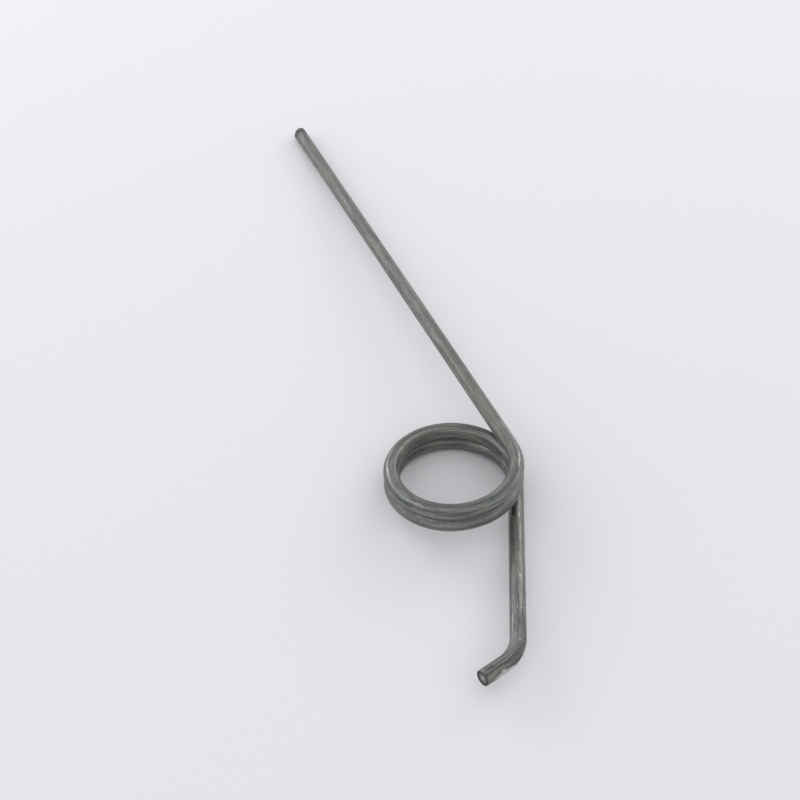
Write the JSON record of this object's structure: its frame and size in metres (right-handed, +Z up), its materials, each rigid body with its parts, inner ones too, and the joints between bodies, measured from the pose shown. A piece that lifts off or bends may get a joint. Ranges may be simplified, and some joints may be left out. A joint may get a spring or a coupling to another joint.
{
  "type": "torsion spring",
  "caption": "Close-wound torsion spring of round wire, with a long straight leg and a short straight leg that ends in an inward hook.",
  "frame": {"origin": "where the coil's axis meets the flat surface that the spring lies on", "axes": "+Z up from that surface, and +Y out over the long leg, seen from above; the coil's axis leans 5.5 degrees from +Z"},
  "size_m": [0.0555, 0.3299, 0.0202],
  "materials": {
    "spring_wire": "drawn"
  },
  "bodies": {
    "root": {"torsion_spring": "spring_wire"}
  },
  "joints": []
}
